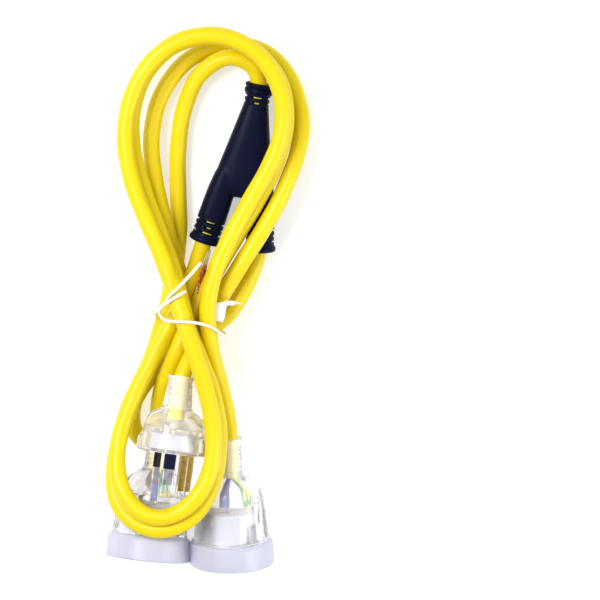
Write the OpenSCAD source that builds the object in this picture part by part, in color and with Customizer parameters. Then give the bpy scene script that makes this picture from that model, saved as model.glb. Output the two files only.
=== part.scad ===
// Two-outlet Y extension lead, wound in a figure of eight and tied.
// The bundle lies flat: +Z is up, +Y points to the tops of the loops, -Y to the sockets.

/* [Flex] */
// Outside diameter of the yellow flexes
flex_d = 9.2; // [9:0.1:9.4]
// Diameter of one insulated core
core_d = 2.8; // [2.4:0.1:3]

/* [Plug] */
// Diameter of the plug's flange
plug_d = 38; // [37:0.5:39]
// Height of the plug's flange
plug_flange_h = 8; // [7:0.5:9]
// Length of the plug from its face to the end of its boot
plug_len = 42; // [41:0.5:43]
// Width of the live and neutral pins
pin_w = 6.35; // [6.2:0.05:6.5]
// Thickness of the live and neutral pins
pin_t = 1.6; // [1.5:0.1:1.7]
// Length of the live and neutral pins
pin_len = 17.06; // [16.5:0.01:17.5]
// Distance of the live and neutral pins' centres from the plug's axis
pin_r = 7.94; // [7.8:0.01:8.1]
// Length of the insulating sleeve on the live and neutral pins
sleeve_len = 8.5; // [7:0.5:10]
// Width of the earth pin
earth_w = 9.08; // [9:0.02:9.2]
// Length of the earth pin
earth_len = 19.94; // [19.5:0.01:20.5]
// Distance of the earth pin's centre from the plug's axis
earth_r = 10.3; // [10:0.1:10.5]

/* [Sockets] */
// Diameter of a socket's face ring
ring_d = 46; // [45:0.5:47]
// Depth of a socket's face ring
ring_h = 13.5; // [13:0.5:14]
// Length of a socket from its face to the end of its boot
socket_len = 70; // [69:0.5:71]

/* [Y-piece] */
// Length of the Y-piece along its middle
y_len = 90.5; // [90:0.5:92]
// Distance of each outlet boot's end from the Y-piece's middle line
y_spread = 15.4; // [15.2:0.1:15.8]
// Thickness of the Y-piece
y_thick = 16; // [15:0.5:16.5]

/* [Tie] */
// Diameter of the plastic-covered wire tie
tie_d = 1.8; // [1.6:0.1:2]

/* [Hidden] */
$fn = 48;

yellow = [1, 0.87, 0.05];
clear = [0.92, 0.93, 0.96, 0.35];
frosted = [0.9, 0.9, 0.97, 0.8];
navy = [0.05, 0.06, 0.16];
ivory = [0.88, 0.88, 0.86];
nickel = [0.75, 0.75, 0.77];
brass = [0.78, 0.6, 0.33];
brown = [0.36, 0.2, 0.1];
blue = [0.08, 0.25, 0.6];
green = [0.1, 0.55, 0.25];
white = [0.95, 0.95, 0.95];

flex_r = flex_d / 2;
core_r = core_d / 2;
bore_r = flex_r + 0.1;
slack = 0.1;

// ---------------------------------------------------------------- placing
// A fitting's own frame has its face at the origin and +Z running back along its axis,
// towards its cable. [face centre, yaw, pitch, roll]: pitch lowers the cable end.
plug_at = [[-9.5, -66.6, 40], -7.6, 8.7, -60];
socket_a_at = [[23, -130, 23.1], 0.8, -4.5, -90];
socket_b_at = [[-23, -128, 23.8], -5.6, 7.5, -60];

module at_fitting(f, rolled = true) {
    translate(f[0]) rotate([-90 - f[2], 0, f[1]]) rotate([0, 0, rolled ? f[3] : 0]) children();
}
function axis_of(f) = [-sin(f[1]) * cos(f[2]), cos(f[1]) * cos(f[2]), -sin(f[2])];
function on_axis(f, d) = f[0] + d * axis_of(f);

// The Y-piece lies flat. Its own frame has the inlet's end at the origin and +X running
// down its middle line, towards the two outlets.
y_at = [38.5, 130.5, 8.8];
y_turn = -99.8;
y_leg_turn = 9;
leg_root = 52;
LEFT = -1;
RIGHT = 1;
module at_y() {
    translate(y_at) rotate([0, 0, y_turn]) children();
}
function from_y(u, v) = y_at + [
    u * cos(y_turn) - v * sin(y_turn),
    u * sin(y_turn) + v * cos(y_turn),
    0
];
// A point on an outlet leg's axis: side is LEFT or RIGHT, s is the distance in from its end.
function leg_point(side, s) = [
    y_len - s * cos(y_leg_turn),
    side * (y_spread - s * sin(y_leg_turn))
];
function from_leg(side, s) = from_y(leg_point(side, s)[0], leg_point(side, s)[1]);

// ---------------------------------------------------------------- smooth tubes
// A uniform cubic B-spline, run through its two end points.
function open_ended(p) = concat(
    [2 * p[0] - p[1]], p, [2 * p[len(p) - 1] - p[len(p) - 2]]
);
function spline(q, i, t) = (
    pow(1 - t, 3) * q[i]
    + (3 * pow(t, 3) - 6 * pow(t, 2) + 4) * q[i + 1]
    + (-3 * pow(t, 3) + 3 * pow(t, 2) + 3 * t + 1) * q[i + 2]
    + pow(t, 3) * q[i + 3]
) / 6;
function turn_at(q, i) = let (a = q[i + 1] - q[i], b = q[i + 3] - q[i + 2])
    acos(min(1, max(-1, a * b / norm(a) / norm(b))));
// One ring at each route point, and one more half way where the route turns sharply.
function rings(p, sharp) = let (q = open_ended(p)) [
    for (i = [0:len(p) - 2]) each (
        turn_at(q, i) > sharp ? [spline(q, i, 0), spline(q, i, 0.5)] : [spline(q, i, 0)]
    ),
    p[len(p) - 1]
];
function unit(v) = v / norm(v);
function heading(c, k) = unit(c[min(k + 1, len(c) - 1)] - c[max(k - 1, 0)]);
function square_to(v, t) = unit(v - (v * t) * t);
// Side directions carried along the tube without twisting.
function sides_along(c) = [
    for (
        k = 0, s = square_to([0.1, 0.2, 1], heading(c, 0));
        k < len(c);
        k = k + 1, s = k < len(c) ? square_to(s, heading(c, k)) : s
    ) s
];
module tube(c, r, sides = 8) {
    s = sides_along(c);
    n = len(c);
    points = [
        for (k = [0:n - 1]) let (up = cross(heading(c, k), s[k]))
            for (j = [0:sides - 1])
                c[k] + r * (cos(360 * j / sides) * s[k] + sin(360 * j / sides) * up)
    ];
    walls = [
        for (k = [0:n - 2], j = [0:sides - 1]) let (
            a = k * sides + j,
            b = k * sides + (j + 1) % sides
        ) each [[a, b + sides, b], [a, a + sides, b + sides]]
    ];
    near_end = [[for (j = [0:sides - 1]) j]];
    far_end = [[for (j = [sides - 1:-1:0]) (n - 1) * sides + j]];
    polyhedron(points, concat(walls, near_end, far_end));
}
module flex(route, sharp = 32) {
    tube(rings(route, sharp), flex_r);
}
module thin_run(route, r) {
    tube(rings(route, 1), r);
}

// ---------------------------------------------------------------- routes, in millimetres
plug_sheath_end = 17;
socket_sheath_end = 48;
y_sheath_end = 14;

main_route = concat(
    [for (d = [plug_sheath_end, 30, plug_len]) on_axis(plug_at, d)],
    [
        [2, -15, 29], [6, -4, 24], [13, 9, 23], [22, 24, 22], [34, 43, 23], [48, 65, 22],
        [57, 87, 18], [63, 107, 12], [57, 131, 9], [45, 147, 6], [24, 153, 5], [2, 147, 5],
        [-15, 128, 7], [-22, 102, 10], [-18, 73, 12], [-10, 44, 15], [-3, 19, 13], [3, -3, 7],
        [9, -23, 5], [15, -41, 5], [13, -57, 5], [-1, -69, 5], [-18, -71, 5], [-32, -63, 5],
        [-32, -46, 5], [-21, -23, 5], [-12, 7, 7], [-4, 45, 5], [-7, 81, 5], [-5, 110, 6],
        [2, 131, 8], [11, 141, 11], [23, 147, 13], [36, 141, 12]
    ],
    [for (u = [0, y_sheath_end]) from_y(u, 0)]
);
leg_a_route = concat(
    [for (s = [y_sheath_end, 0]) from_leg(LEFT, s)],
    [
        [4, 32, 15], [-1, 19, 22], [-11, -1, 26], [-20, -18, 29], [-29, -34, 33],
        [-37, -54, 38], [-40, -74, 45], [-33, -94, 51], [-16, -102, 54], [2, -94, 53],
        [14, -74, 52], [14, -47, 49], [7, -21, 47], [-1, 2, 46], [-8, 24, 39], [-17, 48, 36],
        [-30, 76, 33], [-36, 106, 30], [-28, 137, 29], [-8, 157, 28], [18, 161, 28],
        [41, 149, 29], [52, 126, 29], [51, 100, 30], [35, 73, 30], [20, 46, 31], [10, 21, 33],
        [10, -2, 33], [15, -24, 30], [21, -46, 28]
    ],
    [for (d = [socket_len, 58, socket_sheath_end]) on_axis(socket_a_at, d)]
);
leg_b_route = concat(
    [for (s = [y_sheath_end, 0]) from_leg(RIGHT, s)],
    [
        [34, 27, 10], [29, 16, 12], [21, 3, 14], [4, -7, 17], [-11, -17, 17], [-25, -32, 19],
        [-36, -52, 25], [-42, -79, 33], [-39, -98, 43], [-20, -110, 49], [2, -104, 48],
        [15, -83, 44], [18, -53, 41], [11, -25, 39], [-1, 0, 36], [-5, 22, 30], [-13, 45, 26],
        [-25, 74, 23], [-33, 105, 20], [-27, 135, 19], [-8, 155, 18], [18, 159, 18],
        [42, 147, 20], [54, 125, 20], [52, 97, 21], [38, 69, 21], [22, 43, 21], [8, 18, 23],
        [-2, -1, 26], [-9, -19, 27], [-16, -36, 21], [-17, -49, 16]
    ],
    [for (d = [socket_len, 58, socket_sheath_end]) on_axis(socket_b_at, d)]
);

// ---------------------------------------------------------------- shared shapes
module rounded_bar(w, t, h) {
    linear_extrude(h) hull() for (x = [-1, 1]) translate([x * (w - t) / 2, 0]) circle(d = t);
}
// Where each pole sits, in a fitting's frame before its roll. [radius, angle]
live_pole = [pin_r, -30.2];
neutral_pole = [pin_r, 210.2];
earth_pole = [earth_r, 90];
module at_pole(pole, radial = false) {
    rotate([0, 0, pole[1]]) translate([pole[0], 0, 0]) rotate([0, 0, radial ? 0 : 90]) children();
}
function pole_point(pole, z) = [pole[0] * cos(pole[1]), pole[0] * sin(pole[1]), z];
// The three cores leave the sheath side by side, in a triangle.
function core_start(pole, z) = [
    1.05 * core_r * cos(pole[1]) * 1.15,
    1.05 * core_r * sin(pole[1]) * 1.15,
    z
];
module core(pole, z_sheath, z_join, colour) {
    start = core_start(pole, z_sheath);
    end = pole_point(pole, z_join);
    color(colour) thin_run([
        start,
        start - [0, 0, (z_sheath - z_join) * 0.3],
        end + [0, 0, (z_sheath - z_join) * 0.35],
        end
    ], core_r);
}

// ---------------------------------------------------------------- plug
carrier_z = [2, 10];
carrier_r = 12.6;
crimp_h = 3;
plug_join_z = carrier_z[1] + crimp_h;

module plug_outline() {
    r = plug_d / 2;
    polygon([
        [0, 0], [r - 0.6, 0], [r, 0.8], [r, plug_flange_h - 1], [r - 0.6, plug_flange_h],
        [r - 2, 11], [r - 2.8, 14], [r - 4, 18.5], [r - 6, 21.5], [r - 9, 23], [8.5, 23.8],
        [7.6, 33], [6.6, plug_len - 4], [7.1, plug_len - 3.5], [7.1, plug_len], [0, plug_len]
    ]);
}
module plug_moulding() {
    color(clear) at_fitting(plug_at) difference() {
        rotate_extrude() plug_outline();
        translate([0, 0, plug_sheath_end - slack]) cylinder(r = bore_r, h = plug_len);
        translate([0, 0, carrier_z[0] - slack])
            cylinder(r = carrier_r + slack, h = carrier_z[1] - carrier_z[0] + 2 * slack);
        translate([0, 0, carrier_z[1]]) cylinder(r = 11.6, h = crimp_h + 1);
        translate([0, 0, plug_join_z]) cylinder(r1 = 11.6, r2 = bore_r, h = 4.2);
        at_pole(live_pole) translate([0, 0, -1]) rounded_bar(pin_w + 0.4, pin_t + 0.4, 4);
        at_pole(neutral_pole) translate([0, 0, -1]) rounded_bar(pin_w + 0.4, pin_t + 0.4, 4);
        at_pole(earth_pole, true) translate([0, 0, -1]) rounded_bar(earth_w + 0.4, 2.6, 4);
    }
}
module plug_carrier() {
    color(ivory) at_fitting(plug_at) difference() {
        translate([0, 0, carrier_z[0]]) cylinder(r = carrier_r, h = carrier_z[1] - carrier_z[0]);
        for (pole = [live_pole, neutral_pole])
            at_pole(pole) rounded_bar(pin_w + 0.4, pin_t + 0.4, 20);
        at_pole(earth_pole, true) rounded_bar(earth_w + 0.4, 2.6, 20);
    }
}
module flat_pin(pole) {
    at_fitting(plug_at) at_pole(pole) translate([0, 0, -pin_len]) difference() {
        rounded_bar(pin_w, pin_t, pin_len + carrier_z[1]);
        translate([0, 0, pin_len - sleeve_len - 0.05]) difference() {
            translate([-5, -5, 0]) cube([10, 10, sleeve_len]);
            rounded_bar(pin_w - 0.6, pin_t - 0.6, sleeve_len);
        }
        for (x = [-1, 1]) translate([x * pin_w / 2, 0, 0]) rotate([0, x * 45, 0])
            cube([1.2, 4, 1.2], center = true);
    }
}
module plug_pin_live() {
    color(nickel) flat_pin(live_pole);
}
module plug_pin_neutral() {
    color(nickel) flat_pin(neutral_pole);
}
module plug_pin_earth() {
    // Folded from one strip, so its face shows two rounded halves with a groove between.
    color(brass) at_fitting(plug_at) at_pole(earth_pole, true) translate([0, 0, -earth_len])
        difference() {
            linear_extrude(earth_len + carrier_z[1]) union() {
                for (x = [-1, 1]) translate([x * earth_w / 4, 0]) hull()
                    for (k = [-1, 1]) translate([k * (earth_w / 4 - 1), 0]) circle(r = 1);
                square([2, 1.4], center = true);
            }
            translate([0, 0, 2]) rotate([90, 0, 0]) cylinder(d = 1.1, h = 6, center = true);
        }
}
module pin_sleeve(pole) {
    color(navy) at_fitting(plug_at) at_pole(pole) translate([0, 0, -sleeve_len]) difference() {
        rounded_bar(pin_w, pin_t, sleeve_len);
        translate([0, 0, -1]) rounded_bar(pin_w - 0.6, pin_t - 0.6, sleeve_len + 2);
    }
}
module pin_sleeve_live() {
    pin_sleeve(live_pole);
}
module pin_sleeve_neutral() {
    pin_sleeve(neutral_pole);
}
module plug_core_live() {
    at_fitting(plug_at) core(live_pole, plug_sheath_end, plug_join_z, brown);
}
module plug_core_neutral() {
    at_fitting(plug_at) core(neutral_pole, plug_sheath_end, plug_join_z, blue);
}
module plug_core_earth() {
    at_fitting(plug_at) core(earth_pole, plug_sheath_end, plug_join_z, green);
}
module plug_crimps() {
    color(brass) at_fitting(plug_at) for (pole = [live_pole, neutral_pole, earth_pole])
        translate(pole_point(pole, carrier_z[1])) cylinder(r = core_r - 0.2, h = crimp_h);
}

// ---------------------------------------------------------------- sockets
face_t = 3;
body_r = 20.4;
contact_z = [face_t + 1.5, 26];
socket_carrier_z = [face_t, 30];
socket_join_z = 32;

module socket_outline() {
    polygon([
        [0, ring_h], [body_r, ring_h], [19.7, 20], [18.3, 33.5],
        [17.3, 40], [14.9, 44], [11.8, 46.7], [8.1, 48.6], [6.8, 49.6], [6.4, 58],
        [6.2, socket_len - 3.5], [6.8, socket_len - 3], [6.8, socket_len], [0, socket_len]
    ]);
}
module socket_moulding(f) {
    color(clear) at_fitting(f) difference() {
        rotate_extrude() socket_outline();
        translate([0, 0, socket_sheath_end - slack]) cylinder(r = bore_r, h = socket_len);
        translate([0, 0, -slack])
            cylinder(r = carrier_fit_r + slack, h = socket_carrier_z[1] + 2 * slack);
        translate([0, 0, socket_carrier_z[1]]) cylinder(r = 12.6, h = 4);
        translate([0, 0, socket_carrier_z[1] + 4 - slack])
            cylinder(r1 = 12.6, r2 = bore_r, h = socket_sheath_end - socket_carrier_z[1] - 4);
    }
}
carrier_fit_r = 15.6;
module slots(extra, h) {
    for (pole = [live_pole, neutral_pole])
        at_pole(pole) rounded_bar(pin_w + extra, pin_t + extra, h);
    at_pole(earth_pole, true) rounded_bar(earth_w + extra, 2 + extra, h);
}
module socket_face_ring(f) {
    color(frosted) at_fitting(f) difference() {
        rotate_extrude() polygon([
            [0, 0], [ring_d / 2 - 0.5, 0], [ring_d / 2, 0.6], [ring_d / 2 - 0.6, ring_h - 2],
            [ring_d / 2 - 1.2, ring_h - 1], [body_r, ring_h], [carrier_fit_r + 0.2, ring_h],
            [carrier_fit_r + 0.2, face_t], [0, face_t]
        ]);
        translate([0, 0, -1]) slots(0.6, face_t + 2);
    }
}
module socket_carrier(f) {
    color(ivory) at_fitting(f) difference() {
        translate([0, 0, socket_carrier_z[0]])
            cylinder(r = carrier_fit_r, h = socket_carrier_z[1] - socket_carrier_z[0]);
        translate([0, 0, -slack]) slots(2.6, 40);
        for (a = [0:90:270]) rotate([0, 0, a + 45]) translate([11.4, -3.6, 12])
            cube([10, 7.2, 12]);
    }
}
// A folded spring: two leaves joined at the back, open to the front for the pin.
module spring_contact(w, gap) {
    leaf_t = 0.5;
    h = contact_z[1] - contact_z[0];
    translate([0, 0, contact_z[0]]) {
        for (s = [-1, 1]) translate([-w / 2, s * (gap + leaf_t) / 2 - leaf_t / 2, 0])
            cube([w, leaf_t, h]);
        translate([-w / 2, -gap / 2 - leaf_t, h]) cube([w, gap + 2 * leaf_t, leaf_t]);
        translate([0, 0, h + leaf_t])
            cylinder(r = core_r - 0.2, h = socket_join_z - contact_z[1] - leaf_t);
    }
}
module socket_contact(f, pole, radial, w, gap) {
    color(brass) at_fitting(f) at_pole(pole, radial) spring_contact(w, gap);
}
module socket_core(f, pole, colour) {
    at_fitting(f) core(pole, socket_sheath_end, socket_join_z, colour);
}
module socket_a_moulding() {
    socket_moulding(socket_a_at);
}
module socket_b_moulding() {
    socket_moulding(socket_b_at);
}
module socket_a_face_ring() {
    socket_face_ring(socket_a_at);
}
module socket_b_face_ring() {
    socket_face_ring(socket_b_at);
}
module socket_a_carrier() {
    socket_carrier(socket_a_at);
}
module socket_b_carrier() {
    socket_carrier(socket_b_at);
}
// Seen from in front, a socket's live slot is where the plug's live pin goes in.
module contacts(f, kind) {
    if (kind == "live") socket_contact(f, neutral_pole, false, pin_w, pin_t + 0.3);
    if (kind == "neutral") socket_contact(f, live_pole, false, pin_w, pin_t + 0.3);
    if (kind == "earth") socket_contact(f, earth_pole, true, earth_w, 2.3);
}

// ---------------------------------------------------------------- Y-piece
premould_half_w = 7.6;
premould_half_h = 4.5;
premould_u = [31, 45];
splice_u = [33, 43];
splice_gap = 5;
splice_r = 2.2;
run_half_h = 3.2;

module y_body() {
    r = y_thick / 2;
    hull() {
        translate([16, 0, 0]) sphere(r = r - 0.6, $fn = 24);
        translate([12.5, 0, 0]) rotate([0, 90, 0]) cylinder(r = 6.8, h = 1, $fn = 24);
        for (v = [-1, 1]) translate([leg_root, v * 8.6, 0]) sphere(r = r, $fn = 24);
    }
    for (side = [-1, 1]) hull() {
        translate([leg_root, side * 8.6, 0]) sphere(r = r, $fn = 24);
        p = leg_point(side, 14);
        translate([p[0], p[1], 0]) sphere(r = r - 0.3, $fn = 24);
    }
}
module y_boot(r_root, r_end, length) {
    cylinder(r1 = r_end, r2 = r_root, h = length);
    cylinder(r = r_end + 0.9, h = 3.5);
}
// The space for the splices, and the tapers that the cores run through on either side.
module y_hollow() {
    w = premould_half_w + slack;
    from = premould_u[0] - slack;
    to = premould_u[1] + slack;
    translate([from, -w, -premould_half_h - slack])
        cube([to - from, 2 * w, 2 * (premould_half_h + slack)]);
    translate([0, 0, -run_half_h]) linear_extrude(2 * run_half_h) {
        polygon([[y_sheath_end, -4.2], [y_sheath_end, 4.2], [to, w - 0.4], [to, 0.4 - w]]);
        for (side = [-1, 1])
            polygon([[from, side], [from, side * (w - 0.4)], [57, side * 14], [57, side * 6.4]]);
    }
}
module y_moulding() {
    color(navy) at_y() difference() {
        union() {
            y_body();
            rotate([0, 90, 0]) y_boot(7, 6.8, 13);
            for (side = [-1, 1]) translate([leg_point(side, 0)[0], leg_point(side, 0)[1], 0])
                rotate([0, -90, side * y_leg_turn]) y_boot(y_thick / 2 - 0.3, 7.4, 15);
        }
        translate([-1, 0, 0]) rotate([0, 90, 0]) cylinder(r = bore_r, h = y_sheath_end + 2);
        for (side = [-1, 1]) translate([leg_point(side, -1)[0], leg_point(side, -1)[1], 0])
            rotate([0, -90, side * y_leg_turn]) cylinder(r = bore_r, h = 34);
        y_hollow();
    }
}
// Runs of one pole in the Y-piece: in from the main flex, and out to the two legs.
function lane(k) = (k - 1) * splice_gap;
module y_runs(k, colour) {
    color(colour) at_y() {
        thin_run([
            [y_sheath_end, lane(k) * 0.34, k == 1 ? 1.5 : -1],
            [y_sheath_end + 5, lane(k) * 0.4, k == 1 ? 1.5 : -1],
            [splice_u[0] - 6, lane(k), 0],
            [splice_u[0], lane(k), 0]
        ], core_r - 0.05);
        for (side = [-1, 1]) {
            end = leg_point(side, y_sheath_end);
            spread = lane(k) * 0.34;
            thin_run([
                [splice_u[1], lane(k) + side * 0.1, side * 1.45],
                [splice_u[1] + 6, lane(k) + side * 1.5, side * 1.45],
                [end[0] - 12, end[1] + spread * 1.4 - side * 2, k == 1 ? 1.5 : -1],
                [end[0], end[1] + spread, k == 1 ? 1.5 : -1]
            ], core_r - 0.05);
        }
    }
}
module y_splice(k) {
    color(brass) at_y() translate([splice_u[0], lane(k), 0]) rotate([0, 90, 0])
        cylinder(r = splice_r, h = splice_u[1] - splice_u[0]);
}
module y_premould() {
    length = premould_u[1] - premould_u[0];
    color(ivory) at_y() difference() {
        translate([premould_u[0], -premould_half_w, -premould_half_h])
            cube([length, 2 * premould_half_w, 2 * premould_half_h]);
        for (k = [0:2]) translate([premould_u[0] - 1, lane(k), 0]) rotate([0, 90, 0])
            cylinder(r = splice_r + 0.2, h = length + 2);
        for (k = [0:2]) translate([splice_u[1] - 0.5, lane(k) - 2, -run_half_h])
            cube([4, 4, 2 * run_half_h]);
    }
}

// ---------------------------------------------------------------- tie, tag and label
// The loop goes round the neck of the bundle, and its two tails cross at the left.
tie_route = [
    [7, 38, 43], [1, 31, 45], [-5, 25, 47], [-10, 20, 46], [-14, 14, 42], [-17, 9, 34],
    [-20, 6, 20], [-22, 5, 8], [-21, 4, 1], [-11, 3, 1], [3, 0, 1], [14, -4, 3],
    [20, -6, 12], [20, -5, 24], [18, -3, 34], [14, 2, 41], [8, 5, 46], [1, 7, 51],
    [-6, 7, 51], [-12, 6, 44], [-15, 8, 39], [-16, 11, 39], [-13, 15, 44], [-8, 19, 48],
    [-1, 23, 47]
];
module wire_tie() {
    color(white) thin_run(tie_route, tie_d / 2);
}
tag_t = 0.5;
module paper_tag() {
    color(white) translate([18.5, 14, 31]) rotate([4, 20, -20]) union() {
        translate([-3.5, -9, 0]) cube([7, 12, tag_t]);
        translate([-1.5, 2, 0]) rotate([0, 0, -55]) translate([-2, 0, 0]) cube([4, 9, tag_t]);
    }
}
module flag_label() {
    color(white) translate([8, 30, 24]) rotate([0, 0, -12]) rotate([0, 68, 0])
        translate([-4, -12, 0]) cube([8, 24, tag_t]);
}

plug_moulding();
plug_carrier();
plug_pin_live();
plug_pin_neutral();
plug_pin_earth();
pin_sleeve_live();
pin_sleeve_neutral();
plug_core_live();
plug_core_neutral();
plug_core_earth();
plug_crimps();
socket_a_moulding();
socket_a_face_ring();
socket_a_carrier();
contacts(socket_a_at, "live");  // socket_a_contact_live
contacts(socket_a_at, "neutral");  // socket_a_contact_neutral
contacts(socket_a_at, "earth");  // socket_a_contact_earth
socket_core(socket_a_at, neutral_pole, brown);  // socket_a_core_live
socket_core(socket_a_at, live_pole, blue);  // socket_a_core_neutral
socket_core(socket_a_at, earth_pole, green);  // socket_a_core_earth
socket_b_moulding();
socket_b_face_ring();
socket_b_carrier();
contacts(socket_b_at, "live");  // socket_b_contact_live
contacts(socket_b_at, "neutral");  // socket_b_contact_neutral
contacts(socket_b_at, "earth");  // socket_b_contact_earth
socket_core(socket_b_at, neutral_pole, brown);  // socket_b_core_live
socket_core(socket_b_at, live_pole, blue);  // socket_b_core_neutral
socket_core(socket_b_at, earth_pole, green);  // socket_b_core_earth
y_moulding();
y_premould();
y_runs(0, brown);  // y_core_live
y_runs(1, blue);  // y_core_neutral
y_runs(2, green);  // y_core_earth
y_splice(0);  // y_splice_live
y_splice(1);  // y_splice_neutral
y_splice(2);  // y_splice_earth
color(yellow) flex(main_route);  // main_flex
color(yellow) flex(leg_a_route);  // leg_flex_a
color(yellow) flex(leg_b_route);  // leg_flex_b
wire_tie();
paper_tag();
flag_label();
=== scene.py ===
"""The looks of a two-outlet Y extension lead, wound in a figure of eight and tied.

Everything is in metres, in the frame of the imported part: +Z is up from the surface that the
bundle lies on, +Y points to the tops of the loops and -Y to the sockets.
"""

import math

import bpy
from mathutils import Matrix, Vector, noise


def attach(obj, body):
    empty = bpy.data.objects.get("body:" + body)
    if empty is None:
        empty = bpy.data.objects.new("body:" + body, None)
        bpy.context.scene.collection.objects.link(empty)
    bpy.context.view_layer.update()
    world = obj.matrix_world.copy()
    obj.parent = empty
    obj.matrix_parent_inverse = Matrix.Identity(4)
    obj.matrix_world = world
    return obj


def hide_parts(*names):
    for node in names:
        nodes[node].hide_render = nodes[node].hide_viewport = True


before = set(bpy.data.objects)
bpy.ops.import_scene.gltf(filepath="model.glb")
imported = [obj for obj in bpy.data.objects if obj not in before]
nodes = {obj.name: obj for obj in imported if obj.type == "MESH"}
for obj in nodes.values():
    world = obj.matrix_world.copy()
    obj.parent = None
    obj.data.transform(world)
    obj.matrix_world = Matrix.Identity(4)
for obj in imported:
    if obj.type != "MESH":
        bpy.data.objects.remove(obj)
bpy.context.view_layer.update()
MM = 0.001

# ---------------------------------------------------------------- camera
FIELD = 0.3267  # width of the picture at the surface
LEAN = math.radians(9)  # the camera leans this far from straight above, towards +Y
DISTANCE = 3.0
AIM = Vector((0.0601, 0.0107, 0.0))


def make_camera():
    data = bpy.data.cameras.new("camera")
    data.sensor_width = 36
    data.lens = 36 * DISTANCE / FIELD
    data.clip_end = 20
    camera = bpy.data.objects.new("camera", data)
    bpy.context.scene.collection.objects.link(camera)
    camera.location = AIM + DISTANCE * Vector((0, math.sin(LEAN), math.cos(LEAN)))
    camera.rotation_euler = (-LEAN, 0, 0)
    bpy.context.scene.camera = camera


make_camera()


# ---------------------------------------------------------------- placing
def fitting(face, yaw, pitch, roll):
    """A plug's or socket's own frame: its face at the origin and +Z back along its axis."""
    turn = Matrix.Rotation(math.radians(yaw), 4, "Z") @ Matrix.Rotation(
        math.radians(-90 - pitch), 4, "X"
    )
    return Matrix.Translation(Vector(face) * MM) @ turn @ Matrix.Rotation(
        math.radians(roll), 4, "Z"
    )


PLUG = fitting((-9.5, -66.6, 40), -7.6, 8.7, -60)
SOCKET_A = fitting((23, -130, 23.1), 0.8, -4.5, -90)
SOCKET_B = fitting((-23, -128, 23.8), -5.6, 7.5, -60)
SOCKETS = {"a": SOCKET_A, "b": SOCKET_B}

# The Y-piece's own frame: its inlet's end at the origin and +X down its middle line.
Y_LENGTH = 90.5 * MM
Y_SPREAD = 15.4 * MM
LEG_TURN = math.radians(9)
LEFT, RIGHT = -1, 1
Y_PIECE = Matrix.Translation(Vector((38.5, 130.5, 8.8)) * MM) @ Matrix.Rotation(
    math.radians(-99.8), 4, "Z"
)


def leg_point(side, back):
    """A point on an outlet leg's axis, back from its end, in the Y-piece's frame."""
    return Vector(
        (
            Y_LENGTH - back * math.cos(LEG_TURN),
            side * (Y_SPREAD - back * math.sin(LEG_TURN)),
            0,
        )
    )


# ---------------------------------------------------------------- routes
PLUG_SHEATH_END = 17 * MM
PLUG_LENGTH = 42 * MM
SOCKET_SHEATH_END = 48 * MM
SOCKET_LENGTH = 70 * MM
Y_SHEATH_END = 14 * MM


def along(place, *distances):
    return [place @ Vector((0, 0, d)) for d in distances]


def metres(points):
    return [Vector(p) * MM for p in points]


MAIN_ROUTE = [
    *along(PLUG, PLUG_SHEATH_END, 30 * MM, PLUG_LENGTH),
    *metres([
        (2, -15, 29), (6, -4, 24), (13, 9, 23), (22, 24, 22), (34, 43, 23), (48, 65, 22),
        (57, 87, 18), (63, 107, 12), (57, 131, 9), (45, 147, 6), (24, 153, 5), (2, 147, 5),
        (-15, 128, 7), (-22, 102, 10), (-18, 73, 12), (-10, 44, 15), (-3, 19, 13), (3, -3, 7),
        (9, -23, 5), (15, -41, 5), (13, -57, 5), (-1, -69, 5), (-18, -71, 5), (-32, -63, 5),
        (-32, -46, 5), (-21, -23, 5), (-12, 7, 7), (-4, 45, 5), (-7, 81, 5), (-5, 110, 6),
        (2, 131, 8), (11, 141, 11), (23, 147, 13), (36, 141, 12),
    ]),
    *[Y_PIECE @ Vector((u, 0, 0)) for u in (0, Y_SHEATH_END)],
]
LEG_A_ROUTE = [
    *[Y_PIECE @ leg_point(LEFT, s) for s in (Y_SHEATH_END, 0)],
    *metres([
        (4, 32, 15), (-1, 19, 22), (-11, -1, 26), (-20, -18, 29), (-29, -34, 33),
        (-37, -54, 38), (-40, -74, 45), (-33, -94, 51), (-16, -102, 54), (2, -94, 53),
        (14, -74, 52), (14, -47, 49), (7, -21, 47), (-1, 2, 46), (-8, 24, 39), (-17, 48, 36),
        (-30, 76, 33), (-36, 106, 30), (-28, 137, 29), (-8, 157, 28), (18, 161, 28),
        (41, 149, 29), (52, 126, 29), (51, 100, 30), (35, 73, 30), (20, 46, 31), (10, 21, 33),
        (10, -2, 33), (15, -24, 30), (21, -46, 28),
    ]),
    *along(SOCKET_A, SOCKET_LENGTH, 58 * MM, SOCKET_SHEATH_END),
]
LEG_B_ROUTE = [
    *[Y_PIECE @ leg_point(RIGHT, s) for s in (Y_SHEATH_END, 0)],
    *metres([
        (34, 27, 10), (29, 16, 12), (21, 3, 14), (4, -7, 17), (-11, -17, 17), (-25, -32, 19),
        (-36, -52, 25), (-42, -79, 33), (-39, -98, 43), (-20, -110, 49), (2, -104, 48),
        (15, -83, 44), (18, -53, 41), (11, -25, 39), (-1, 0, 36), (-5, 22, 30), (-13, 45, 26),
        (-25, 74, 23), (-33, 105, 20), (-27, 135, 19), (-8, 155, 18), (18, 159, 18),
        (42, 147, 20), (54, 125, 20), (52, 97, 21), (38, 69, 21), (22, 43, 21), (8, 18, 23),
        (-2, -1, 26), (-9, -19, 27), (-16, -36, 21), (-17, -49, 16),
    ]),
    *along(SOCKET_B, SOCKET_LENGTH, 58 * MM, SOCKET_SHEATH_END),
]


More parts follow.
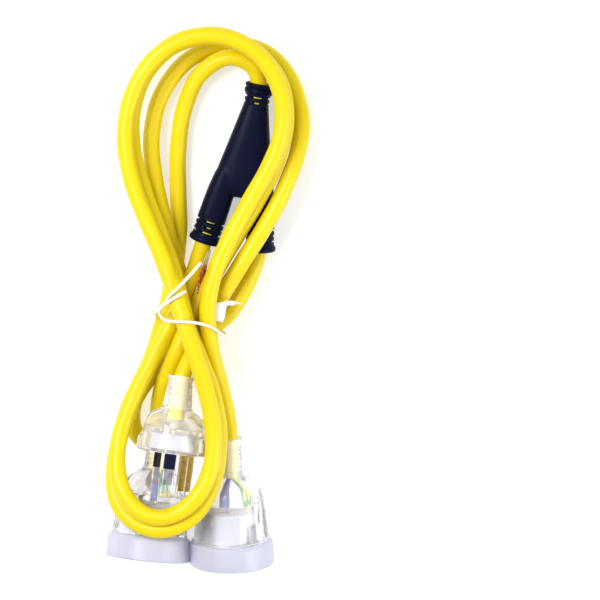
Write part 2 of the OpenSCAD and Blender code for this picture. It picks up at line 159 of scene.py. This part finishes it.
def spline(points, per_span=8):
    """The uniform cubic B-spline through the route's two ends, as part.scad draws it."""
    p = [2 * points[0] - points[1], *points, 2 * points[-1] - points[-2]]
    line = []
    for i in range(len(points) - 1):
        for k in range(per_span):
            t = k / per_span
            line.append((
                (1 - t) ** 3 * p[i]
                + (3 * t**3 - 6 * t**2 + 4) * p[i + 1]
                + (-3 * t**3 + 3 * t**2 + 3 * t + 1) * p[i + 2]
                + t**3 * p[i + 3]
            ) / 6)
    line.append(points[-1].copy())
    return line


# ---------------------------------------------------------------- mesh helpers
def smoothstep(low, high, x):
    t = min(1.0, max(0.0, (x - low) / (high - low)))
    return t * t * (3 - 2 * t)


def mesh_object(name, points, faces, material, place=None, uvs=None):
    mesh = bpy.data.meshes.new(name)
    mesh.from_pydata(points, [], faces)
    if uvs:
        layer = mesh.uv_layers.new(name="along")
        for loop in mesh.loops:
            layer.data[loop.index].uv = uvs[loop.vertex_index]
    if place is not None:
        mesh.transform(place)
    mesh.validate()
    for polygon in mesh.polygons:
        polygon.use_smooth = True
    piece = bpy.data.objects.new(name, mesh)
    bpy.context.scene.collection.objects.link(piece)
    mesh.materials.append(material)
    return piece


def frames_along(line):
    """A heading and two sides square to it at each point, carried along without twisting."""
    side = Vector((0.1, 0.2, 1))
    for k, point in enumerate(line):
        ahead = (line[min(k + 1, len(line) - 1)] - line[max(k - 1, 0)]).normalized()
        side = (side - side.dot(ahead) * ahead).normalized()
        yield point, ahead, side, ahead.cross(side)


def tube(name, line, radius, material, sides):
    """A closed tube along line. radius is a number, or a function of distance and angle."""
    size = radius if callable(radius) else lambda s, a: radius
    points, uvs, travelled, last = [], [], 0.0, line[0]
    for point, _, side, up in frames_along(line):
        travelled += (point - last).length
        last = point
        for j in range(sides):
            a = math.tau * j / sides
            points.append(point + size(travelled, a) * (math.cos(a) * side + math.sin(a) * up))
            uvs.append((j / sides, travelled))
    faces = grid_faces(len(line), sides)
    faces.append(tuple(range(sides - 1, -1, -1)))
    faces.append(tuple(range(len(points) - sides, len(points))))
    return mesh_object(name, points, faces, material, uvs=uvs)


def grid_faces(rows, columns):
    """Quads between rows of columns points each, closed round each row."""
    faces = []
    for k in range(rows - 1):
        for j in range(columns):
            a, b = k * columns + j, k * columns + (j + 1) % columns
            faces.append((a, b, b + columns, a + columns))
    return faces


def turned(outline, sides, shape):
    """The points of a surface of revolution about Z: a ring for each (r, z) of outline.

    shape may be None. If it isn't, shape(r, z, angle) is the radius that is used for r.
    """
    points = []
    for r, z in outline:
        for j in range(sides):
            a = math.tau * j / sides
            rr = shape(r, z, a) if shape else r
            points.append(Vector((rr * math.cos(a), rr * math.sin(a), z)))
    return points


def lathe(name, outline, material, place, shape=None, sides=96):
    """A closed surface of revolution. outline is (r, z) from pole to pole."""
    points = turned(outline[1:-1], sides, shape)
    rows = len(outline) - 2
    faces = grid_faces(rows, sides)
    for pole, row in ((outline[0], 0), (outline[-1], rows - 1)):
        points.append(Vector((0, 0, pole[1])))
        tip = len(points) - 1
        for j in range(sides):
            a, b = row * sides + j, row * sides + (j + 1) % sides
            faces.append((tip, b, a) if row == 0 else (tip, a, b))
    return mesh_object(name, points, faces, material, place)


def curve_through(corners, step):
    """A smooth line through (r, z) corners in millimetres. A corner given twice stays sharp."""
    line = []
    for i in range(len(corners) - 1):
        a, b = Vector(corners[i]), Vector(corners[i + 1])
        before = Vector(corners[i - 1]) if i else a
        after = Vector(corners[i + 2]) if i + 2 < len(corners) else b
        if (b - a).length == 0:
            continue
        count = max(1, round((b - a).length / step))
        for k in range(count):
            t = k / count
            start, end = (b - before) / 2, (after - a) / 2
            if before == a:
                start = b - a
            if after == b:
                end = b - a
            h = (
                (2 * t**3 - 3 * t**2 + 1) * a + (t**3 - 2 * t**2 + t) * start
                + (3 * t**2 - 2 * t**3) * b + (t**3 - t**2) * end
            )
            line.append((h.x * MM, h.y * MM))
    line.append((corners[-1][0] * MM, corners[-1][1] * MM))
    return line


# ---------------------------------------------------------------- materials
class Nodes:
    """Short calls for building one material's nodes."""

    def __init__(self, name):
        self.material = bpy.data.materials.new(name)
        self.material.use_nodes = True
        self.tree = self.material.node_tree
        self.shader = self.tree.nodes["Principled BSDF"]

    def add(self, kind, **settings):
        node = self.tree.nodes.new(kind)
        for key, value in settings.items():
            setattr(node, key, value)
        return node

    def link(self, out, into):
        self.tree.links.new(out, into)

    def set(self, **sockets):
        for key, value in sockets.items():
            self.shader.inputs[key.replace("_", " ")].default_value = value

    def noise(self, scale, detail=3.0):
        texture = self.add("ShaderNodeTexNoise")
        texture.inputs["Scale"].default_value = scale
        texture.inputs["Detail"].default_value = detail
        coordinates = self.add("ShaderNodeTexCoord")
        self.link(coordinates.outputs["Object"], texture.inputs["Vector"])
        return texture.outputs["Fac"]

    def ramp(self, value, *stops):
        """A colour ramp over value. Each stop is (place, colour)."""
        ramp = self.add("ShaderNodeValToRGB")
        elements = ramp.color_ramp.elements
        while len(elements) < len(stops):
            elements.new(0.5)
        for element, (place, colour) in zip(elements, stops):
            element.position = place
            element.color = (*colour, 1)
        self.link(value, ramp.inputs["Fac"])
        return ramp.outputs["Color"]

    def spread(self, value, low, high, into):
        """value, which is 0 to 1, as low to high on the shader's socket into."""
        spread = self.add("ShaderNodeMapRange")
        spread.inputs["From Min"].default_value = 0.3
        spread.inputs["From Max"].default_value = 0.7
        spread.inputs["To Min"].default_value = low
        spread.inputs["To Max"].default_value = high
        self.link(value, spread.inputs["Value"])
        self.link(spread.outputs["Result"], self.shader.inputs[into])

    def bump(self, value, height, strength):
        """Bumps of that height in metres. A second call adds to the first."""
        bump = self.add("ShaderNodeBump")
        bump.inputs["Strength"].default_value = strength
        bump.inputs["Distance"].default_value = height
        self.link(value, bump.inputs["Height"])
        normal = self.shader.inputs["Normal"]
        if normal.is_linked:
            self.link(normal.links[0].from_socket, bump.inputs["Normal"])
        self.link(bump.outputs["Normal"], normal)


def yellow_pvc():
    m = Nodes("yellow_pvc")
    tint = m.noise(14, 2)
    m.link(
        m.ramp(tint, (0.3, (0.77, 0.6, 0.003)), (0.7, (0.81, 0.65, 0.004))),
        m.shader.inputs["Base Color"],
    )
    m.spread(m.noise(90, 4), 0.3, 0.44, "Roughness")
    m.set(Specular_IOR_Level=0.3)
    m.bump(m.noise(1500, 2), 0.00004, 0.5)
    m.bump(m.noise(220, 2), 0.00012, 0.35)
    return m.material


def clear_pvc(name="clear_pvc", milkiness=0.14):
    m = Nodes(name)
    m.set(Base_Color=(0.95, 0.947, 0.975, 1), Transmission_Weight=1 - milkiness, IOR=1.36)
    m.spread(m.noise(60, 3), 0.06, 0.16, "Roughness")
    m.bump(m.noise(260, 2), 0.0002, 0.3)
    return m.material


def frosted_plastic():
    m = Nodes("frosted_plastic")
    m.set(Base_Color=(0.78, 0.785, 0.92, 1), Transmission_Weight=0.4, IOR=1.4)
    m.spread(m.noise(80, 3), 0.3, 0.45, "Roughness")
    m.bump(m.noise(1800, 2), 0.00003, 0.5)
    return m.material


def navy_pvc():
    m = Nodes("navy_pvc")
    m.link(
        m.ramp(m.noise(40, 3), (0.3, (0.0025, 0.004, 0.019)), (0.7, (0.004, 0.0065, 0.031))),
        m.shader.inputs["Base Color"],
    )
    m.spread(m.noise(120, 4), 0.34, 0.46, "Roughness")
    m.set(Specular_IOR_Level=0.07)
    m.bump(m.noise(2200, 3), 0.00004, 0.6)
    m.bump(m.noise(160, 2), 0.00015, 0.3)
    return m.material


def moulded(name, colour, rough=(0.3, 0.45), transmission=0.0, specular=0.5):
    m = Nodes(name)
    darker = tuple(c * 0.9 for c in colour)
    m.link(m.ramp(m.noise(60, 3), (0.3, darker), (0.7, colour)), m.shader.inputs["Base Color"])
    m.spread(m.noise(200, 3), *rough, "Roughness")
    m.set(Transmission_Weight=transmission, Specular_IOR_Level=specular)
    m.bump(m.noise(1500, 2), 0.00003, 0.4)
    return m.material


def metal(name, colour, worn, place):
    """Metal brushed along the local Z of place, with the tint worn in patches."""
    m = Nodes(name)
    coordinates = m.add("ShaderNodeTexCoord")
    turn = m.add("ShaderNodeMapping", vector_type="TEXTURE")
    turn.inputs["Rotation"].default_value = place.to_euler()
    stretch = m.add("ShaderNodeMapping")
    stretch.inputs["Scale"].default_value = (1, 1, 0.03)
    grain = m.add("ShaderNodeTexNoise")
    grain.inputs["Scale"].default_value = 3500
    m.link(coordinates.outputs["Object"], turn.inputs["Vector"])
    m.link(turn.outputs["Vector"], stretch.inputs["Vector"])
    m.link(stretch.outputs["Vector"], grain.inputs["Vector"])
    m.link(m.ramp(m.noise(260, 3), (0.35, worn), (0.6, colour)), m.shader.inputs["Base Color"])
    m.spread(grain.outputs["Fac"], 0.22, 0.4, "Roughness")
    m.set(Metallic=1.0)
    m.bump(grain.outputs["Fac"], 0.00003, 0.5)
    return m.material


def striped_core():
    m = Nodes("green_core")
    coordinates = m.add("ShaderNodeTexCoord")
    wave = m.add("ShaderNodeTexWave", bands_direction="DIAGONAL")
    wave.inputs["Scale"].default_value = 90
    m.link(coordinates.outputs["Object"], wave.inputs["Vector"])
    colours = m.ramp(wave.outputs["Fac"], (0.55, (0.02, 0.3, 0.08)), (0.6, (0.85, 0.7, 0.02)))
    m.link(colours, m.shader.inputs["Base Color"])
    m.set(Roughness=0.35)
    return m.material


def label_film():
    m = Nodes("label_film")
    m.link(
        m.ramp(m.noise(90, 3), (0.3, (0.62, 0.62, 0.64)), (0.7, (0.75, 0.75, 0.77))),
        m.shader.inputs["Base Color"],
    )
    m.spread(m.noise(200, 3), 0.25, 0.4, "Roughness")
    return m.material


def red_band():
    """A printed band: red, with worn pale specks that spell nothing."""
    m = Nodes("red_band")
    specks = m.noise(900, 2)
    m.link(
        m.ramp(specks, (0.5, (0.6, 0.03, 0.025)), (0.6, (0.75, 0.6, 0.6))),
        m.shader.inputs["Base Color"],
    )
    m.spread(m.noise(200, 3), 0.3, 0.45, "Roughness")
    return m.material


YELLOW = yellow_pvc()
CLEAR = clear_pvc()
MILKY = clear_pvc("milky_pvc", 0.34)
FROSTED = frosted_plastic()
NAVY = navy_pvc()
CARRIER = moulded("carrier_plastic", (0.5, 0.5, 0.56), transmission=0.3)
SLEEVE = moulded("sleeve_plastic", (0.003, 0.006, 0.03), rough=(0.35, 0.5), specular=0.12)
WHITE = moulded("white_tie", (0.84, 0.82, 0.7), rough=(0.3, 0.45))
PAPER = moulded("tag_paper", (0.86, 0.86, 0.86), rough=(0.6, 0.8))
FILM = label_film()
RED = red_band()
NICKEL = metal("nickel", (0.47, 0.47, 0.49), (0.29, 0.29, 0.31), PLUG)
BRASS = metal("pin_brass", (0.8, 0.69, 0.55), (0.62, 0.51, 0.38), PLUG)
CONTACT = metal("contact_brass", (0.75, 0.6, 0.3), (0.5, 0.36, 0.16), SOCKET_A)
CORES = {
    "live": moulded("brown_core", (0.2, 0.07, 0.02)),
    "neutral": moulded("blue_core", (0.01, 0.07, 0.38)),
    "earth": striped_core(),
}


# ---------------------------------------------------------------- flexes
FLEX_R = 4.6 * MM
LAY_PITCH = 70 * MM
LAY_DEPTH = 0.09 * MM


def flex_radius(s, a):
    """Round, with the three twisted cores just showing through the sheath."""
    return FLEX_R + LAY_DEPTH * (math.cos(3 * (a - math.tau * s / LAY_PITCH)) - 0.4)


def make_flex(name, route):
    line = spline(route)
    piece = tube(f"{name}_sheath", line, flex_radius, YELLOW, sides=36)
    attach(piece, "root")
    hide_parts(name)


make_flex("main_flex", MAIN_ROUTE)
make_flex("leg_flex_a", LEG_A_ROUTE)
make_flex("leg_flex_b", LEG_B_ROUTE)


def keep(piece, slot, *replaced):
    """Every finished piece rides on the one body and stands for the CAD nodes it replaces."""
    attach(piece, "root")
    if replaced:
        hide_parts(*replaced)


# ---------------------------------------------------------------- plug
BORE_WALL = 5.2 * MM  # nearer the axis than this, a moulding's surface is its bore
SLOT_PITCH = 2.3 * MM
SLOT_COLUMNS = 4
PLUG_BOOT = 24 * MM
PLUG_SLOTS = (25 * MM, 39 * MM)
PLUG_SLOT_DEPTH = 1.8 * MM


def milky_beyond(body, place, z):
    """The bend protector's thin walls look whiter than the body, past z on the fitting's axis.

    The clear walls cast no shadow, so the lamps reach what is inside them.
    """
    body.visible_shadow = False
    body.data.materials.append(MILKY)
    back = place.inverted()
    for polygon in body.data.polygons:
        if (back @ polygon.center).z > z:
            polygon.material_index = 1


def ladder(z, a, reach, half_angle):
    """How much of a slot is at z and angle a, 0 to 1: rows between stiff spines, over reach."""
    start, end = reach
    if not start < z < end:
        return 0.0
    row = abs(((z - start) / SLOT_PITCH) % 1 - 0.5)
    across = (a * SLOT_COLUMNS / math.tau) % 1
    off = abs(across - 0.5) * math.tau / SLOT_COLUMNS
    return smoothstep(0.36, 0.26, row) * smoothstep(half_angle + 0.09, half_angle - 0.03, off)


def plug_shape(r, z, a):
    if r < BORE_WALL:
        return r
    return r - PLUG_SLOT_DEPTH * ladder(z, a, PLUG_SLOTS, 0.46)


def make_plug():
    outer = curve_through(
        [
            (0, 0), (17.4, 0), (17.4, 0), (18.5, 0.35), (19, 1.4), (19, 6.4), (18.7, 7.6),
            (17.9, 8.5), (17.1, 10), (16.6, 12.5), (16, 15.5), (15, 18.5), (13.5, 20.9),
            (11.2, 22.6), (9.3, 23.4), (8.6, 24.4), (8.2, 27), (7.5, 33), (6.8, 38), (6.6, 39.6),
            (7.1, 40.1), (7.1, 41.5), (6.7, 42), (4.7, 42), (4.7, 42),
        ],
        0.35,
    )
    inner = curve_through(
        [
            (4.7, 42), (4.7, 42), (4.7, 17.2), (4.7, 17.2), (8, 15.8), (12.7, 13.2), (12.7, 13.2),
            (12.7, 1.9), (12.7, 1.9), (0, 1.9),
        ],
        0.8,
    )
    body = lathe("plug_body", outer + inner[1:], CLEAR, PLUG, plug_shape)
    milky_beyond(body, PLUG, PLUG_BOOT)
    keep(body, "clear_pvc", "plug_moulding")


make_plug()


# ---------------------------------------------------------------- sockets
RIBS = 16
RIB_DEPTH = 0.8 * MM
PANEL_TURN = math.radians(125)  # the smooth panels face this way and its opposite
HOLLOW_WALL = 15.9 * MM  # nearer the axis than this, a surface below the crown is the hollow's
CROWN = 42 * MM
CROWN_WALL = 9 * MM  # the same past the crown, where the hollow narrows to the bore
SOCKET_BOOT = 49 * MM
SOCKET_SLOTS = (51 * MM, 65.5 * MM)
SOCKET_SLOT_DEPTH = 1.3 * MM


def socket_shape(r, z, a):
    """Grip ribs on two sides of the dome, with smooth panels between, and slots in the boot."""
    if r < BORE_WALL:
        return r
    if r > (HOLLOW_WALL if z < CROWN else CROWN_WALL):
        across = (a * RIBS / math.tau) % 1
        rib = smoothstep(0.1, 0.22, across) * smoothstep(0.9, 0.78, across)
        fade = smoothstep(47 * MM, 38 * MM, z) * smoothstep(14.5 * MM, 17 * MM, z)
        sides = smoothstep(0.45, 0.6, abs(math.sin(a - PANEL_TURN)))
        return r + RIB_DEPTH * fade * sides * (rib - 0.8)
    return r - SOCKET_SLOT_DEPTH * ladder(z, a, SOCKET_SLOTS, 0.5)


def make_socket(letter):
    place = SOCKETS[letter]
    outer = curve_through(
        [
            (15.7, 13.55), (15.7, 13.55), (20.3, 13.55), (20.3, 13.55), (20.6, 13.9), (20.4, 15.5),
            (19.7, 20), (19, 27), (18.3, 33.4), (17.3, 39.4), (16.4, 42), (14.8, 44.2),
            (11.8, 46.6), (9, 48.1), (7.5, 49.4), (6.9, 51.5), (6.5, 58), (6.3, 64.5),
            (6.4, 66.2), (6.9, 66.8), (6.9, 69.3), (6.5, 70), (4.7, 70), (4.7, 70),
        ],
        0.5,
    )
    inner = curve_through(
        [
            (4.7, 70), (4.7, 70), (4.7, 48.1), (4.7, 48.1), (7, 44.6), (11, 39.5), (14.6, 35.5),
            (15.7, 32.5), (15.7, 13.55), (15.7, 13.55),
        ],
        0.9,
    )
    ring = outer + inner[1:-1]
    sides = 128
    points = turned(ring, sides, socket_shape)
    faces = grid_faces(len(ring), sides)
    last = (len(ring) - 1) * sides
    for j in range(sides):
        faces.append((last + j, last + (j + 1) % sides, (j + 1) % sides, j))
    body = mesh_object(f"socket_{letter}_body", points, faces, CLEAR, place)
    milky_beyond(body, place, SOCKET_BOOT)
    keep(body, "clear_pvc", f"socket_{letter}_moulding")


for letter in SOCKETS:
    make_socket(letter)


# ---------------------------------------------------------------- Y-piece
def loft(rows):
    """Rings of superellipses: each row is (place, heading, half width, half height)."""
    sides, power = 48, 2.7
    points = []
    for at, ahead, w, h in rows:
        side = Vector((-ahead.y, ahead.x, 0))
        for j in range(sides):
            a = math.tau * j / sides
            c, s = math.cos(a), math.sin(a)
            x = math.copysign(abs(c) ** (2 / power), c) * w
            z = math.copysign(abs(s) ** (2 / power), s) * h
            points.append(at + side * x + Vector((0, 0, z)))
    faces = grid_faces(len(rows), sides)
    faces.append(tuple(range(sides - 1, -1, -1)))
    faces.append(tuple(range(len(points) - sides, len(points))))
    return points, faces


SKIN_GRAIN = 0.55 * MM


def make_y_body():
    """The main branch and the two legs, melted into one skin."""
    main = [
        (11, 6.7, 6.9), (14, 7.2, 7.2), (18, 8.1, 7.6), (24, 9.4, 7.9), (35, 11.8, 8),
        (44.5, 13.9, 8), (53, 15.7, 8), (57, 15.4, 7.8), (60, 13, 7.2), (62, 9, 6), (63, 5, 4),
    ]
    branch = [(44, 5.2, 6.5), (38, 6.6, 7.6), (30, 7.4, 8), (22, 7.7, 8), (14, 7.8, 7.9)]
    rows = [(Vector((u * MM, 0, 0)), Vector((1, 0, 0)), w * MM, h * MM) for u, w, h in main]
    points, faces = loft(rows)
    for side in (LEFT, RIGHT):
        ahead = Vector((math.cos(LEG_TURN), side * math.sin(LEG_TURN), 0))
        leg = [(leg_point(side, s * MM), ahead, w * MM, h * MM) for s, w, h in branch]
        more, sides = loft(leg)
        faces += [tuple(i + len(points) for i in f) for f in sides]
        points += more
    body = mesh_object("y_body", points, faces, NAVY, Y_PIECE)
    remesh = body.modifiers.new("melt", "REMESH")
    remesh.mode = "VOXEL"
    remesh.voxel_size = SKIN_GRAIN
    remesh.use_smooth_shade = True
    soften = body.modifiers.new("soften", "SMOOTH")
    soften.iterations = 9
    soften.factor = 0.6
    keep(body, "navy_pvc", "y_moulding")


QUARTERS = (0.0, math.pi / 2, math.pi, 3 * math.pi / 2)
SLOT_HALF = 0.38 * MM  # half a slot's height at its floor
SLOT_MOUTH = 0.6 * MM  # half its height where it opens


def boot_shape(rows, reach, start, pitch):
    """Slots cut down to the flex: a row of four for each half angle in rows."""

    def shape(r, z, a):
        for k, half in enumerate(rows):
            middle = start + k * pitch
            row = smoothstep(SLOT_MOUTH, SLOT_HALF, abs(z - middle))
            if row <= 0:
                continue
            for centre in QUARTERS:
                off = abs((a - centre + math.pi) % math.tau - math.pi)
                cut = row * smoothstep(half + 0.06, half - 0.06, off)
                r = r - reach * cut
        return r

    return shape


def make_y_boots():
    inlet = curve_through(
        [
            (0, 0), (5, 0), (6.6, 0), (6.6, 0), (7.6, 0.5), (7.7, 1.6), (7.2, 2.3), (7.2, 2.9),
            (7.7, 3.4), (7.5, 5.4), (6.9, 6.2), (6.8, 9), (6.8, 12), (7.2, 16), (5, 17), (0, 17),
        ],
        0.25,
    )
    place = Y_PIECE @ Matrix.Rotation(math.pi / 2, 4, "Y")
    shape = boot_shape((0.5, 0.3), 3.0 * MM, 7.6 * MM, 2.9 * MM)
    piece = lathe("y_inlet_boot", inlet, NAVY, place, shape)
    keep(piece, "navy_pvc", "y_moulding")
    outlet = curve_through(
        [
            (0, 0), (5, 0), (7.4, 0), (7.4, 0), (8.4, 0.6), (8.6, 2.2), (8.1, 3.2), (7.7, 4.2),
            (7.7, 8), (7.8, 12), (7.8, 16), (7.2, 18), (5, 18.5), (0, 18.5),
        ],
        0.25,
    )
    for side, name in ((LEFT, "y_left_boot"), (RIGHT, "y_right_boot")):
        place = (
            Y_PIECE
            @ Matrix.Translation(leg_point(side, 0))
            @ Matrix.Rotation(side * LEG_TURN, 4, "Z")
            @ Matrix.Rotation(-math.pi / 2, 4, "Y")
        )
        shape = boot_shape((0.55, 0.3, 0.55), 4.0 * MM, 5.6 * MM, 3.1 * MM)
        piece = lathe(name, outlet, NAVY, place, shape)
        keep(piece, "navy_pvc", "y_moulding")


def make_y_mark():
    """The small round pit on the upper face, where the two legs part."""
    rim = [(0, -0.6), (1.1, -0.6), (1.1, 0), (0.95, 0.2), (0.7, 0.15), (0.5, -0.3), (0, -0.35)]
    place = Y_PIECE @ Matrix.Translation(Vector((50, -5, 8.0)) * MM)
    outline = [(r * MM, z * MM) for r, z in rim]
    keep(lathe("y_mark", outline, SLEEVE, place, sides=24), "navy_pvc", "y_moulding")


make_y_body()
make_y_boots()
make_y_mark()


# ---------------------------------------------------------------- tie, tag and label
TIE_R = 0.9 * MM
TIE_ROUTE = metres([
    (7, 38, 43), (1, 31, 45), (-5, 25, 47), (-10, 20, 46), (-14, 14, 42), (-17, 9, 34),
    (-20, 6, 20), (-22, 5, 8), (-21, 4, 1), (-11, 3, 1), (3, 0, 1), (14, -4, 3), (20, -6, 12),
    (20, -5, 24), (18, -3, 34), (14, 2, 41), (8, 5, 46), (1, 7, 51), (-6, 7, 51), (-12, 6, 44),
    (-15, 8, 39), (-16, 11, 39), (-13, 15, 44), (-8, 19, 48), (-1, 23, 47),
])
tie = tube("tie", spline(TIE_ROUTE, 10), TIE_R, WHITE, sides=12)
keep(tie, "white_tie", "wire_tie")


SHEET_THICKNESS = 0.25 * MM
BAND_LENGTH = 0.66  # how far along the label its printed band reaches


def thin_sheet(name, size, shape, materials, place, slot, node):
    """A thin sheet whose points shape(u, v) gives. A second material starts past the band."""
    across, length = size
    rows, columns = 48, 16
    points = [
        shape((j / columns - 0.5) * across, (k / rows - 0.5) * length)
        for k in range(rows + 1)
        for j in range(columns + 1)
    ]
    faces = []
    for k in range(rows):
        for j in range(columns):
            a = k * (columns + 1) + j
            faces.append((a, a + 1, a + columns + 2, a + columns + 1))
    sheet = mesh_object(name, points, faces, materials[0], place)
    for material in materials[1:]:
        sheet.data.materials.append(material)
    for index, polygon in enumerate(sheet.data.polygons):
        along = index // columns / rows
        polygon.material_index = int(along > BAND_LENGTH) if len(materials) > 1 else 0
    thicken = sheet.modifiers.new("thickness", "SOLIDIFY")
    thicken.thickness = SHEET_THICKNESS
    keep(sheet, slot, node)


def crumpled(u, v):
    """The paper tag: its near end flares, and its far end is folded over and dented."""
    flare = 1 + 0.35 * smoothstep(0, -7 * MM, v)
    dent = noise.noise(Vector((u, v, 0)) * 300) * smoothstep(-2 * MM, 5 * MM, v) * 2.4 * MM
    crease = 0.5 * MM * abs(math.sin(v * 420)) - 0.6 * MM * abs(u) / (3.5 * MM)
    over = max(0.0, v - 1 * MM)
    return Vector((u * flare + over * 0.9, v - over * 0.45 - 2 * MM, dent + crease + over * 0.3))


def twisted(u, v):
    """The label's strip: nearly on edge, and turned a little further towards one end."""
    from_middle = v / (12 * MM)
    roll = math.radians(-9) * from_middle
    bow = 1.2 * MM * from_middle**2
    return Vector((u * math.cos(roll), v, u * math.sin(roll) + bow))


def placed(centre, turns):
    turn = Matrix.Rotation(math.radians(turns[2]), 4, "Z")
    turn = turn @ Matrix.Rotation(math.radians(turns[1]), 4, "Y")
    turn = turn @ Matrix.Rotation(math.radians(turns[0]), 4, "X")
    return Matrix.Translation(Vector(centre) * MM) @ turn


thin_sheet(
    "tag", (6.5 * MM, 17 * MM), crumpled, [PAPER], placed((18.5, 14, 31), (4, 20, -20)),
    "paper", "paper_tag",
)
thin_sheet(
    "label", (8 * MM, 24 * MM), twisted, [RED, FILM], placed((8, 30, 24), (0, 68, -12)),
    "label_strip", "flag_label",
)


# ---------------------------------------------------------------- CAD nodes that are kept
LOOKS = {
    "plug_carrier": CARRIER, "plug_pin_live": NICKEL, "plug_pin_neutral": NICKEL,
    "plug_pin_earth": BRASS, "pin_sleeve_live": SLEEVE, "pin_sleeve_neutral": SLEEVE,
    "plug_crimps": CONTACT, "y_premould": CARRIER,
}
for letter in SOCKETS:
    LOOKS[f"socket_{letter}_face_ring"] = FROSTED
    LOOKS[f"socket_{letter}_carrier"] = CARRIER
    for pole in CORES:
        LOOKS[f"socket_{letter}_contact_{pole}"] = CONTACT
        LOOKS[f"socket_{letter}_core_{pole}"] = CORES[pole]
for pole in CORES:
    LOOKS[f"plug_core_{pole}"] = CORES[pole]
    LOOKS[f"y_core_{pole}"] = CORES[pole]
    LOOKS[f"y_splice_{pole}"] = CONTACT
EDGE = 0.2 * MM  # how far the moulded and stamped edges are rounded
RING_EDGE = 0.5 * MM  # the face rings are rounder
for name, material in LOOKS.items():
    mesh = nodes[name].data
    mesh.materials.clear()
    mesh.materials.append(material)
    if "core" not in name:
        edges = nodes[name].modifiers.new("rounded_edges", "BEVEL")
        edges.width = RING_EDGE if "ring" in name else EDGE
        edges.segments = 2
        edges.limit_method = "ANGLE"
        edges.angle_limit = math.radians(40)


# ---------------------------------------------------------------- floor, lights and world
def make_floor():
    m = Nodes("floor")
    m.set(
        Base_Color=(0.62, 0.62, 0.62, 1), Roughness=0.6, Specular_IOR_Level=0.2,
        Emission_Color=(1, 1, 1, 1), Emission_Strength=0.5,
    )
    reach = 6.0
    corners = [(-reach, -reach, 0), (reach, -reach, 0), (reach, reach, 0), (-reach, reach, 0)]
    floor = mesh_object("floor", [Vector(c) for c in corners], [(0, 1, 2, 3)], m.material)


def softbox(name, place, aim, size, power):
    data = bpy.data.lights.new(name, "AREA")
    data.shape = "RECTANGLE"
    data.size, data.size_y = size
    data.energy = power
    lamp = bpy.data.objects.new(name, data)
    bpy.context.scene.collection.objects.link(lamp)
    lamp.location = place
    lamp.rotation_euler = (Vector(aim) - Vector(place)).to_track_quat("-Z", "Y").to_euler()


def make_world(strength):
    world = bpy.data.worlds.new("studio")
    world.use_nodes = True
    background = world.node_tree.nodes["Background"]
    background.inputs["Color"].default_value = (1, 1, 1, 1)
    background.inputs["Strength"].default_value = strength
    bpy.context.scene.world = world


make_floor()
make_world(0.5)
softbox("key", (-0.7, 0.5, 1.3), (0, 0, 0), (0.7, 0.7), 21)
softbox("side", (0.9, -0.3, 0.55), (0, 0, 0), (0.5, 0.5), 6)
bpy.context.scene.view_settings.view_transform = "Standard"
